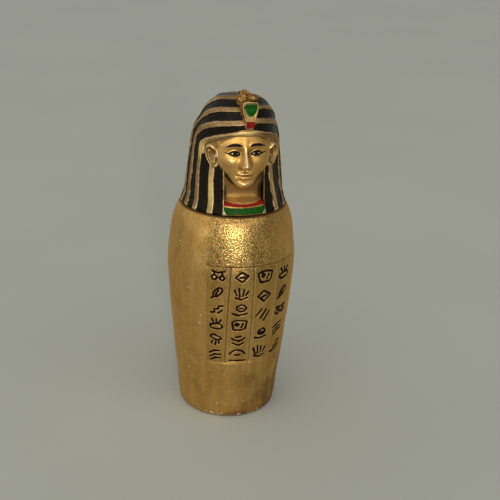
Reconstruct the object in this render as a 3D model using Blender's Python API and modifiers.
"""Canopic jar: a hollow turned body and a lift-off lid shaped as a head in a striped headcloth.

Blender 4.5. Metres, +Z up, origin at the centre of the underside. The face looks along -Y.
The sizes below are in millimetres and are turned to metres where the meshes are made.
"""

import math

import bmesh
import bpy
import numpy as np
from mathutils import Matrix, Vector

MM = 0.001

# Driving dimensions, in millimetres
JOINT_Z = 65.1            # plane of the jar's rim
REST_GAP = 0.3            # between the rim and the lid's underside
WALL = 3.0
FLOOR = 4.0
MOUTH_R = 12.9
RIM_R = 15.8
RIM_ROUND = 0.7
FOOT_R = 14.0
FOOT_ROUND = 1.3
PLUG_R = 12.4
PLUG_DEPTH = 5.0
TURN_STEPS = 48

# The jar's outer side: height, radius
JAR_SIDE = [(1.7, 14.75), (3.6, 15.1), (9.0, 15.5), (18.0, 16.6), (27.0, 17.4), (36.0, 18.3),
            (48.0, 18.95), (55.6, 18.3), (60.1, 17.6), (62.8, 16.75), (64.4, 16.1)]
JAR_SIDE_LEVELS = 11

# The sign panel on the jar's front
UPRIGHTS = [-35.8, -15.3, 7.6, 30.2, 54.8]    # angles of the panel's sides and dividers
PANEL_BOTTOM = 19.5
PANEL_TOP = 51.5
PANEL_SUNK = 0.3
DIVIDER_WIDTH = 0.5
STROKE_WIDTH = 0.65
STROKE_SUNK = 0.35
SIGN_ROWS = 6
SIGN_MARGIN = 2.4         # how much narrower than its column a sign is
SIGN_HEIGHT = 4.2

# The headcloth: height, radius of the ribs' outer face
CLOTH_BOTTOM = 65.6
CLOTH_SPRING = 84.0       # above this height the stripes arch over the head
CROWN_Z = 97.0
CLOTH_SIDE = [(65.6, 15.6), (67.0, 15.0), (69.0, 14.45), (74.0, 13.87), (79.0, 13.31), (84.0, 12.69),
              (88.0, 11.81), (91.0, 10.65), (93.5, 9.4), (95.5, 7.5), (96.3, 6.3), (96.8, 3.7), (97.0, 0.0)]
CLOTH_LEAN = [(65.6, 0.0), (84.0, 0.0), (88.0, 0.6), (91.0, 2.2), (93.5, 2.6), (97.0, 2.3)]
RIB_RAISE = 0.35
BROW_FULLNESS = 1.0       # how far the cloth stands out over the brow
BROW_FULL_Z = 88.5
EDGE_SLOPE = 0.7          # degrees that a rib's side takes

# Each stripe line has an angle from the face at the shoulders. Its arch over the brow, or over the
# back of the head behind the crown, reaches a share of the way up the head and is more or less square.
STRIPE_EDGES = [24.0, 37.9, 45.3, 59.0, 65.5, 75.0, 82.5, 90.5, 98.0, 104.0, 112.5]
CROWN_ANGLE = 118.0
FRONT_TOPS = [(0.0, 0.0), (24.0, 0.09), (37.9, 0.135), (45.3, 0.16), (59.0, 0.21), (65.5, 0.263),
              (75.0, 0.343), (82.5, 0.422), (90.5, 0.53), (98.0, 0.61), (104.0, 0.75), (112.5, 0.94),
              (118.0, 1.0)]
BACK_TOPS = [(118.0, 1.0), (150.0, 0.62), (180.0, 0.0)]
ARCH_SQUARENESS = [(0.0, 1.6), (65.5, 1.65), (75.0, 2.2), (82.5, 2.6), (98.0, 3.0), (112.5, 3.6),
                   (118.0, 20.0), (124.0, 4.0), (150.0, 2.4), (180.0, 2.0)]
BACK_BLACK = 8.5
BACK_GOLD = 6.5
LAST_EDGE = 172.0
ARCH_STATIONS = 6
DROP_STATIONS = 3

# Face, neck and collar
TEMPLE_Y = 9.4            # how far forward the sides of the face end at eye level
BROW_LINE_Z = 84.8
EYE_Z = 82.8
EYE_X = 3.05
NOSE_BASE_Z = 78.7
NOSE_TIP_Z = 79.6
MOUTH_Z = 76.7
NICHE_BACK_Y = -8.0
EAR_TURN = 42.0           # degrees from the face
EAR_OUT = 12.9
EAR_Z = 81.6
EAR_SIZE = (1.95, 1.0, 3.7)
EAR_HOLLOW_SIZE = (1.15, 0.65, 2.3)
EAR_LEAN = 15.0
COLLAR = [(10.6, 76.0), (10.8, 71.6), (11.4, 70.1), (13.8, 68.5), (14.4, 67.4), (15.05, 65.8),
          (14.9, 65.4)]

# Brow cobra: half of the hood's outline from the brow up, and the places of its parts
HOOD = [(1.0, 89.9), (1.28, 90.4), (1.5, 92.5), (2.0, 94.7), (2.12, 96.2), (1.85, 97.2), (1.0, 97.6)]
HOOD_X = 0.45
HOOD_FRONT_Y = -14.4
HOOD_BACK_Y = -10.9
COIL = (-0.35, -9.4, 97.15)
COIL_SIZE = (2.2, 3.0, 2.85)
LOW_COIL = (-0.15, -11.6, 93.2)
LOW_COIL_SIZE = (1.75, 2.3, 3.4)
SNAKE_HEAD = (1.15, -12.9, 98.4)
SNAKE_HEAD_SIZE = (1.55, 2.2, 1.15)

GOLD = (0.46, 0.30, 0.09)
PALE_GOLD = (0.52, 0.36, 0.14)


def smooth_through(stations, at):
    """Value at one place of a smooth curve through (place, value) stations, without overshoot."""
    places = [station[0] for station in stations]
    values = [station[1] for station in stations]
    at = min(max(at, places[0]), places[-1])
    i = min(max(int(np.searchsorted(places, at)) - 1, 0), len(places) - 2)

    def slope(k):
        if k == 0 or k == len(places) - 1:
            j = min(k, len(places) - 2)
            return (values[j + 1] - values[j]) / (places[j + 1] - places[j])
        before = (values[k] - values[k - 1]) / (places[k] - places[k - 1])
        after = (values[k + 1] - values[k]) / (places[k + 1] - places[k])
        if before * after <= 0:
            return 0.0
        return 2 * before * after / (before + after)

    span = places[i + 1] - places[i]
    u = (at - places[i]) / span
    return ((2 * u**3 - 3 * u**2 + 1) * values[i] + (u**3 - 2 * u**2 + u) * span * slope(i)
            + (3 * u**2 - 2 * u**3) * values[i + 1] + (u**3 - u**2) * span * slope(i + 1))


def bump(x, z, at_x, at_z, wide, high):
    """A smooth round rise of height 1."""
    return math.exp(-((x - at_x) / wide) ** 2 - ((z - at_z) / high) ** 2)


def jar_radius(z):
    return smooth_through(JAR_SIDE, z)


def arc(centre_r, centre_z, radius, start, end, steps):
    """Points (r, z) of an arc, angles in degrees from +R towards +Z."""
    points = []
    for k in range(steps + 1):
        angle = math.radians(start + (end - start) * k / steps)
        points.append((centre_r + radius * math.cos(angle), centre_z + radius * math.sin(angle)))
    return points


# ---------------------------------------------------------------- scene helpers

def clear_scene():
    for obj in list(bpy.data.objects):
        bpy.data.objects.remove(obj, do_unlink=True)


def make_collection(name):
    collection = bpy.data.collections.new(name)
    bpy.context.scene.collection.children.link(collection)
    return collection


def make_material(name, colour, roughness, metallic):
    material = bpy.data.materials.new(name)
    material.use_nodes = True
    shader = material.node_tree.nodes["Principled BSDF"]
    shader.inputs["Base Color"].default_value = (*colour, 1.0)
    shader.inputs["Roughness"].default_value = roughness
    shader.inputs["Metallic"].default_value = metallic
    return material


def object_from(bm, name, collection, material=None):
    """A mesh object from a bmesh in millimetres, in triangles so that Booleans meet flat faces only."""
    bmesh.ops.triangulate(bm, faces=bm.faces)
    bmesh.ops.scale(bm, vec=Vector((MM, MM, MM)), verts=bm.verts)
    mesh = bpy.data.meshes.new(name)
    bm.to_mesh(mesh)
    bm.free()
    obj = bpy.data.objects.new(name, mesh)
    collection.objects.link(obj)
    if material:
        mesh.materials.append(material)
    return obj


def hide_tool(obj):
    """Marks an object that only cuts or joins another."""
    obj.hide_render = True
    obj.display_type = "WIRE"
    return obj


def turned(name, profile, collection, steps=TURN_STEPS):
    """A closed turned shape: the (r, z) profile runs down its outer side, axis to axis."""
    bm = bmesh.new()
    verts = [bm.verts.new((r, 0.0, z)) for r, z in profile]
    for first, second in zip(verts, verts[1:]):
        bm.edges.new((first, second))
    obj = object_from(bm, name, collection)
    screw = obj.modifiers.new("Turn", "SCREW")
    screw.axis = "Z"
    screw.angle = math.tau
    screw.steps = steps
    screw.render_steps = steps
    screw.use_merge_vertices = True
    screw.merge_threshold = 0.00001
    return obj


def boolean(obj, tool, operation):
    modifier = obj.modifiers.new(tool.name, "BOOLEAN")
    modifier.operation = operation
    modifier.solver = "EXACT"
    modifier.object = tool


def smooth_shading(obj, angle=35.0):
    obj.data.shade_smooth()
    obj.data.set_sharp_from_angle(angle=math.radians(angle))


# ---------------------------------------------------------------- jar

def jar_profile():
    """Inside from the floor's centre up to the mouth, over the rim and down the outer side."""
    inside = [(0.0, FLOOR), (10.4, FLOOR)]
    inside += arc(10.4, FLOOR + 1.4, 1.4, -60, 0, 2)
    inside += [(jar_radius(z) - WALL, z) for z in (14.0, 27.0, 40.0, 49.0, 56.0)]
    inside += [(MOUTH_R, 60.4), (MOUTH_R, JOINT_Z)]
    rim = arc(RIM_R - RIM_ROUND, JOINT_Z - RIM_ROUND, RIM_ROUND, 90, 20, 3)
    top = JAR_SIDE[-1][0] - 0.3
    bottom = JAR_SIDE[0][0]
    side = []
    for k in range(JAR_SIDE_LEVELS + 1):
        share = k / JAR_SIDE_LEVELS
        z = top + (bottom - top) * share
        side.append((jar_radius(z), z))
    foot = arc(FOOT_R - 0.6, FOOT_ROUND, FOOT_ROUND, -25, -90, 3)
    return inside + rim + side + foot + [(0.0, 0.0)]


def jar_point(angle, z, offset):
    """Point off the jar's side: angle in degrees from the face direction, towards +X."""
    radius = jar_radius(z) + offset
    turn = math.radians(angle)
    return Vector((radius * math.sin(turn), -radius * math.cos(turn), z))


def panel_cutter(collection):
    """The sunk panel: a curved slab a little outside the jar, its inner face in the wall."""
    middle = (UPRIGHTS[0] + UPRIGHTS[-1]) / 2
    half = (UPRIGHTS[-1] - UPRIGHTS[0]) / 2
    across, up = 12, 5
    bm = bmesh.new()
    bmesh.ops.create_grid(bm, x_segments=across, y_segments=up, size=1.0)
    for vert in bm.verts:
        angle = middle + vert.co.x * half
        z = PANEL_BOTTOM + (vert.co.y + 1) / 2 * (PANEL_TOP - PANEL_BOTTOM)
        vert.co = jar_point(angle, z, -PANEL_SUNK)
    thicken_outwards(bm, 1.0 + PANEL_SUNK)
    return hide_tool(object_from(bm, "panel_cutter", collection))


def thicken_outwards(bm, thickness):
    """Turns an open patch round the axis into a closed slab, by extruding it away from the axis."""
    extruded = bmesh.ops.extrude_face_region(bm, geom=bm.faces[:], use_keep_orig=True)
    for vert in (item for item in extruded["geom"] if isinstance(item, bmesh.types.BMVert)):
        flat = Vector((vert.co.x, vert.co.y, 0.0)).normalized()
        vert.co += flat * thickness
    bmesh.ops.recalc_face_normals(bm, faces=bm.faces)


def stroke_outline(points, width, closed=False):
    """Left and right sides of a stroke of even width along flat points, with mitred corners."""
    count = len(points)
    left, right = [], []
    for k, point in enumerate(points):
        before = points[(k - 1) % count] if closed or k > 0 else None
        after = points[(k + 1) % count] if closed or k < count - 1 else None
        ways = []
        if before is not None:
            ways.append((point - before).normalized())
        if after is not None:
            ways.append((after - point).normalized())
        way = sum(ways, Vector((0.0, 0.0))).normalized()
        normal = Vector((-way.y, way.x))
        reach = width / 2 / max(normal.dot(Vector((-ways[0].y, ways[0].x))), 0.5)
        left.append(point + normal * reach)
        right.append(point - normal * reach)
    return left, right


def add_stroke(bm, points, closed, centre_angle, centre_z):
    """Adds one closed stroke cutter, its flat points laid on the jar round a sign's centre."""
    left, right = stroke_outline(points, STROKE_WIDTH, closed)
    scale = math.degrees(1.0 / jar_radius(centre_z))

    def pair(flat):
        angle = centre_angle + flat.x * scale
        z = centre_z + flat.y
        sunk = PANEL_SUNK + STROKE_SUNK
        return bm.verts.new(jar_point(angle, z, -sunk)), bm.verts.new(jar_point(angle, z, 0.6))

    left = [pair(flat) for flat in left]
    right = [pair(flat) for flat in right]
    steps = range(len(points) if closed else len(points) - 1)
    for k in steps:
        j = (k + 1) % len(points)
        for level in (0, 1):
            bm.faces.new((left[k][level], left[j][level], right[j][level], right[k][level]))
        for side in (left, right):
            bm.faces.new((side[k][0], side[j][0], side[j][1], side[k][1]))
    if not closed:
        for k in (0, len(points) - 1):
            bm.faces.new((left[k][0], right[k][0], right[k][1], left[k][1]))


def curved(centre, radius, start, end, steps, squash=1.0):
    """Flat points of an arc in a sign's own square, angles in degrees."""
    points = []
    for k in range(steps + 1):
        angle = math.radians(start + (end - start) * k / steps)
        points.append((centre[0] + radius * math.cos(angle),
                       centre[1] + radius * squash * math.sin(angle)))
    return points


def sign_shapes():
    """Made-up signs, each a list of (points, closed) strokes in a square from -0.5 to 0.5."""
    ring = curved((0.0, 0.16), 0.30, 0, 300, 5, 0.85)
    leaf = [(-0.42, 0.30), (-0.14, 0.38), (0.14, 0.20), (0.26, -0.08), (-0.02, 0.0), (-0.26, 0.12)]
    return [
        [(ring, True), ([(-0.38, -0.44), (0.36, -0.34)], False)],
        [(curved((0.0, 0.0), 0.42, 25, 155, 3), False), ([(-0.16, 0.02), (0.12, 0.06)], False),
         ([(-0.40, -0.36), (0.42, -0.40)], False)],
        [([(-0.40, -0.02), (-0.12, 0.42)], False), ([(-0.16, -0.24), (0.20, 0.34)], False),
         ([(0.10, -0.42), (0.42, 0.10)], False)],
        [(leaf, True), ([(0.06, -0.26), (0.40, -0.44)], False)],
        [(curved((0.0, 0.52), 0.42, 205, 335, 3), False), (curved((0.0, 0.16), 0.42, 215, 325, 3), False),
         ([(-0.10, -0.44), (0.14, -0.40)], False)],
        [([(-0.02, -0.42), (0.0, 0.14)], False), ([(-0.22, -0.20), (-0.42, 0.34)], False),
         ([(0.20, -0.20), (0.42, 0.36)], False)],
    ]


def sign_cutter(collection):
    """All strokes of all signs, one below the other in each column."""
    bm = bmesh.new()
    shapes = sign_shapes()
    pitch = (PANEL_TOP - PANEL_BOTTOM) / SIGN_ROWS
    for column, (left, right) in enumerate(zip(UPRIGHTS, UPRIGHTS[1:])):
        angle = (left + right) / 2
        for row in range(SIGN_ROWS):
            z = PANEL_TOP - pitch * (row + 0.5)
            width = math.radians(right - left) * jar_radius(z) - SIGN_MARGIN
            for points, closed in shapes[(row * 5 + column * 2) % len(shapes)]:
                flat = [Vector((x * width, y * SIGN_HEIGHT)) for x, y in points]
                add_stroke(bm, flat, closed, angle, z)
    bmesh.ops.recalc_face_normals(bm, faces=bm.faces)
    return hide_tool(object_from(bm, "sign_cutter", collection))


def divider_cutter(collection):
    """Narrow grooves between the sign columns."""
    bm = bmesh.new()
    for angle in UPRIGHTS[1:-1]:
        slot = bmesh.ops.create_grid(bm, x_segments=1, y_segments=6, size=1.0)
        half = math.degrees(DIVIDER_WIDTH / 2 / jar_radius((PANEL_BOTTOM + PANEL_TOP) / 2))
        for vert in slot["verts"]:
            z = PANEL_BOTTOM + 0.5 + (vert.co.y + 1) / 2 * (PANEL_TOP - PANEL_BOTTOM - 1.0)
            vert.co = jar_point(angle + vert.co.x * half, z, -PANEL_SUNK - STROKE_SUNK * 0.7)
    thicken_outwards(bm, 1.2)
    return hide_tool(object_from(bm, "divider_cutter", collection))


def make_jar(parts, cutters):
    jar = turned("jar", jar_profile(), parts)
    jar.data.materials.append(make_material("jar_gold", GOLD, 0.36, 0.9))
    for tool in (panel_cutter(cutters), divider_cutter(cutters), sign_cutter(cutters)):
        boolean(jar, tool, "DIFFERENCE")
    smooth_shading(jar)
    return jar


# ---------------------------------------------------------------- headcloth

def cloth_path():
    """Stations (share, radius, z) of the way from the spring line up to the crown."""
    levels = [CLOTH_SPRING + (CROWN_Z - CLOTH_SPRING) * math.sin(math.pi / 2 * k / 60) for k in range(61)]
    points = [(smooth_through(CLOTH_SIDE, z), z) for z in levels]
    way = [0.0]
    for (r0, z0), (r1, z1) in zip(points, points[1:]):
        way.append(way[-1] + math.hypot(r1 - r0, z1 - z0))
    return [(step / way[-1], r, z) for step, (r, z) in zip(way, points)]


CLOTH_PATH = cloth_path()


def cloth_at(share):
    """Radius and height at a share of the way from the spring line to the crown."""
    shares = [station[0] for station in CLOTH_PATH]
    radius = float(np.interp(share, shares, [station[1] for station in CLOTH_PATH]))
    z = float(np.interp(share, shares, [station[2] for station in CLOTH_PATH]))
    return radius, z


def arch_of_line(line):
    """Dense (angle, share) places of one stripe line from the spring line to the middle."""
    if line in (0.0, 180.0):
        return [(line, 0.0)] * 2
    power = smooth_through(ARCH_SQUARENESS, line)
    top = min(smooth_through(FRONT_TOPS, line), smooth_through(BACK_TOPS, line))
    places = []
    for k in range(41):
        part = 1 - (1 - k / 40) ** 3
        across = (1 - part**power) ** (1 / power)
        angle = line * across if line < CROWN_ANGLE else 180.0 - (180.0 - line) * across
        places.append((angle, top * part))
    return places


def cloth_point(angle, radius, z, offset, side):
    """Place of a cloth point off the ribs' outer face, on the left (-1) or right (1)."""
    turn = math.radians(angle)
    full = BROW_FULLNESS * max(math.cos(turn), 0.0) ** 2 * bump(0.0, z, 0.0, BROW_FULL_Z, 1.0, 4.2)
    radius = max(radius + offset, 0.0) + full
    lean = smooth_through(CLOTH_LEAN, z)
    return Vector((side * radius * math.sin(turn), -radius * math.cos(turn) - lean, z))


def evenly_spaced(points, count):
    """The same run of points in even steps."""
    way = [0.0]
    for first, second in zip(points, points[1:]):
        way.append(way[-1] + (second - first).length)
    if way[-1] == 0.0:
        return [points[0].copy() for _ in range(count + 1)]
    steps = [way[-1] * k / count for k in range(count + 1)]
    return [Vector([float(np.interp(step, way, [point[axis] for point in points])) for axis in range(3)])
            for step in steps]


def line_points(line, offset):
    """One stripe line from the left shoulder over the head to the right shoulder."""
    halves = []
    arch = arch_of_line(line)
    for side in (-1, 1):
        drop = []
        for k in range(DROP_STATIONS):
            z = CLOTH_BOTTOM + (CLOTH_SPRING - CLOTH_BOTTOM) * (k / DROP_STATIONS) ** 1.4
            drop.append(cloth_point(line, smooth_through(CLOTH_SIDE, z), z, offset, side))
        over = [cloth_point(angle, *cloth_at(share), offset, side) for angle, share in arch]
        halves.append(drop + evenly_spaced(over, ARCH_STATIONS))
    return halves[0] + halves[1][-2::-1]


def rib_lines():
    """Stripe lines with their offset from the ribs' outer face: valleys are sunk."""
    edges = list(STRIPE_EDGES)
    while edges[-1] < LAST_EDGE:
        edges.append(edges[-1] + (BACK_BLACK if len(edges) % 2 else BACK_GOLD))
    lines = [(0.0, 0.0)]
    sunk = False
    for edge in edges:
        lines.append((edge - EDGE_SLOPE / 2, -RIB_RAISE if sunk else 0.0))
        sunk = not sunk
        lines.append((edge + EDGE_SLOPE / 2, -RIB_RAISE if sunk else 0.0))
    lines.append((180.0, -RIB_RAISE if sunk else 0.0))
    return lines


def headcloth(collection, material):
    """The striped cloth: a loft from stripe line to stripe line, closed below."""
    bm = bmesh.new()
    rows = [[bm.verts.new(point) for point in line_points(line, offset)]
            for line, offset in rib_lines()]
    for first, second in zip(rows, rows[1:]):
        for k in range(len(first) - 1):
            bm.faces.new((first[k], second[k], second[k + 1], first[k + 1]))
    bmesh.ops.remove_doubles(bm, verts=bm.verts, dist=0.001)
    bottom = [edge for edge in bm.edges if edge.is_boundary]
    bmesh.ops.contextual_create(bm, geom=bottom)
    bmesh.ops.recalc_face_normals(bm, faces=bm.faces)
    return object_from(bm, "head_lid", collection, material)


# ---------------------------------------------------------------- face, ears, neck and cobra

def face_depth(x, z):
    """How far the face stands in front of the axis at a place across and up it."""
    side = abs(x)
    widest = smooth_through([(71.0, 2.0), (72.6, 2.9), (74.5, 4.8), (77.5, 6.6), (81.5, 7.75),
                             (85.5, 7.65), (89.0, 7.0)], z)
    middle = smooth_through([(71.0, 9.0), (72.2, 10.2), (73.0, 12.6), (74.0, 13.5), (77.0, 13.3),
                             (80.0, 13.3), (84.0, 13.15), (87.4, 12.6), (88.0, 12.2), (89.0, 9.5)], z)
    share = min(side / widest, 1.0)
    temple = smooth_through([(71.0, 6.5), (75.0, 6.5), (78.5, TEMPLE_Y), (85.0, TEMPLE_Y), (88.0, 6.5),
                             (90.0, 6.5)], z)
    depth = temple + (middle - temple) * (1 - share**2.6) ** 0.45
    ridge_half = 0.75 + 0.75 * min(max((83.6 - z) / 4.4, 0.0), 1.0)
    lift = smooth_through([(76.0, 0.0), (78.3, 0.0), (NOSE_BASE_Z, 0.7), (NOSE_TIP_Z, 2.5),
                           (81.5, 1.5), (83.6, 0.45), (86.0, 0.0), (90.0, 0.0)], z)
    depth += lift * math.exp(-((side / ridge_half) ** 2.4))
    depth -= 0.95 * bump(side, z, EYE_X, EYE_Z + 0.2, 1.9, 1.15)
    depth += 0.60 * bump(side, z, EYE_X + 0.05, EYE_Z, 1.25, 0.62)
    depth += 0.20 * bump(side, z, EYE_X - 0.3, BROW_LINE_Z, 2.4, 0.5)
    depth += 0.25 * bump(side, z, 4.1, 80.4, 1.7, 1.6)
    depth += 0.65 * bump(x, z, 0.0, MOUTH_Z + 0.55, 1.75, 0.5)
    depth += 0.70 * bump(x, z, 0.0, MOUTH_Z - 0.6, 1.35, 0.5)
    depth -= 0.35 * bump(x, z, 0.0, MOUTH_Z - 1.7, 1.6, 0.5)
    depth += 0.45 * bump(x, z, 0.0, 74.0, 1.5, 0.9)
    return depth


def face(collection):
    """The face as a curved front, extruded back into the head."""
    across, up = 18, 23
    bm = bmesh.new()
    bmesh.ops.create_grid(bm, x_segments=across, y_segments=up, size=1.0)
    for vert in bm.verts:
        x = vert.co.x * (0.55 + 0.45 * abs(vert.co.x)) * 8.2
        z = 80.0 + vert.co.y * 8.9
        vert.co = Vector((x, -face_depth(x, z), z))
    extruded = bmesh.ops.extrude_face_region(bm, geom=bm.faces[:], use_keep_orig=True)
    for item in extruded["geom"]:
        if isinstance(item, bmesh.types.BMVert):
            item.co.y = -4.0
    back = [face for face in bm.faces if all(abs(vert.co.y + 4.0) < 0.001 for vert in face.verts)]
    bmesh.ops.dissolve_faces(bm, faces=back)
    bmesh.ops.recalc_face_normals(bm, faces=bm.faces)
    return hide_tool(object_from(bm, "face", collection))


def niche_outline():
    """Half of the opening in the headcloth, bottom to top, as (x, z)."""
    half = [(6.1, 64.0), (5.7, 70.0), (5.7, 76.5)]
    for k in range(9):
        angle = math.radians(-50 + 140 * k / 8)
        half.append((8.1 * max(math.cos(angle), 0.0) ** 0.75, 82.2 + 5.7 * math.sin(angle)))
    return half


def niche_cutter(collection):
    """Opens the headcloth for the face and, between the lappets, for the neck."""
    half = niche_outline()
    outline = half + [(-x, z) for x, z in reversed(half) if x > 0.01]
    bm = bmesh.new()
    front = bm.faces.new([bm.verts.new((x, -25.0, z)) for x, z in outline])
    extruded = bmesh.ops.extrude_face_region(bm, geom=[front], use_keep_orig=True)
    for item in extruded["geom"]:
        if isinstance(item, bmesh.types.BMVert):
            item.co.y = NICHE_BACK_Y
    bmesh.ops.recalc_face_normals(bm, faces=bm.faces)
    return hide_tool(object_from(bm, "niche_cutter", collection))


def neck(collection):
    """Neck, sloping collar, underside and plug, as one turned piece."""
    under = JOINT_Z + REST_GAP
    profile = [(0.0, 80.0), (9.6, 80.0)] + COLLAR
    profile += [(PLUG_R, under), (PLUG_R, under - PLUG_DEPTH + 0.8), (PLUG_R - 0.8, under - PLUG_DEPTH)]
    profile += [(0.0, under - PLUG_DEPTH)]
    return hide_tool(turned("neck", profile, collection, steps=32))


def ball(name, collection, centre, half_sizes, turn_z=0.0, turn_x=0.0, turn_y=0.0, segments=14, rings=9):
    """A stretched sphere, with its place and turns applied."""
    bm = bmesh.new()
    bmesh.ops.create_uvsphere(bm, u_segments=segments, v_segments=rings, radius=1.0)
    bmesh.ops.scale(bm, vec=Vector(half_sizes), verts=bm.verts)
    turn = Matrix.Rotation(math.radians(turn_z), 4, "Z") @ Matrix.Rotation(math.radians(turn_x), 4, "X")
    turn = turn @ Matrix.Rotation(math.radians(turn_y), 4, "Y")
    bmesh.ops.transform(bm, matrix=Matrix.Translation(Vector(centre)) @ turn, verts=bm.verts)
    return hide_tool(object_from(bm, name, collection))


def ears(collection):
    """Each ear is an oval with a hollow, its top leaning back against the headcloth."""
    tools = []
    for side, name in ((-1, "ear_left"), (1, "ear_right")):
        turn = EAR_TURN * side
        out = Vector((math.sin(math.radians(turn)), -math.cos(math.radians(turn)), 0.0))
        centre = out * EAR_OUT + Vector((0.0, 0.0, EAR_Z))
        ear = ball(name, collection, centre, EAR_SIZE, turn_z=turn, turn_y=EAR_LEAN * side,
                   segments=12, rings=8)
        hollow = ball(name + "_hollow", collection, centre + out * 0.95 + Vector((0.0, 0.0, 0.4)),
                      EAR_HOLLOW_SIZE, turn_z=turn, turn_y=EAR_LEAN * side, segments=10, rings=6)
        boolean(ear, hollow, "DIFFERENCE")
        tools.append(ear)
    return tools


def hood(collection):
    """The cobra's spread hood: a shield with a raised border, tapering down to the brow."""
    outline = [(HOOD_X + half, z) for half, z in HOOD]
    outline += [(HOOD_X - half, z) for half, z in reversed(HOOD)]
    bm = bmesh.new()
    front = bm.faces.new([bm.verts.new((x, HOOD_FRONT_Y, z)) for x, z in outline])
    extruded = bmesh.ops.extrude_face_region(bm, geom=[front], use_keep_orig=True)
    for item in extruded["geom"]:
        if isinstance(item, bmesh.types.BMVert):
            item.co.y = HOOD_BACK_Y
    bmesh.ops.inset_individual(bm, faces=[front], thickness=0.4, depth=-0.3)
    bmesh.ops.recalc_face_normals(bm, faces=bm.faces)
    return hide_tool(object_from(bm, "hood", collection))


def cobra(collection):
    """Hood, head and the coil that joins them to the crown, as one piece."""
    snake = hood(collection)
    coil = ball("coil", collection, COIL, COIL_SIZE, segments=13, rings=8)
    low_coil = ball("low_coil", collection, LOW_COIL, LOW_COIL_SIZE, segments=11, rings=7)
    head = ball("cobra_head", collection, SNAKE_HEAD, SNAKE_HEAD_SIZE, turn_x=-8, segments=12, rings=8)
    for tool in (coil, low_coil, head):
        boolean(snake, tool, "UNION")
    return snake


def make_lid(parts, cutters):
    lid = headcloth(parts, make_material("head_gold", PALE_GOLD, 0.4, 0.8))
    boolean(lid, niche_cutter(cutters), "DIFFERENCE")
    for tool in [neck(cutters), face(cutters)] + ears(cutters) + [cobra(cutters)]:
        boolean(lid, tool, "UNION")
    smooth_shading(lid)
    return lid


def main():
    clear_scene()
    parts = make_collection("canopic_jar")
    cutters = make_collection("cutters")
    make_jar(parts, cutters)
    make_lid(parts, cutters)


main()
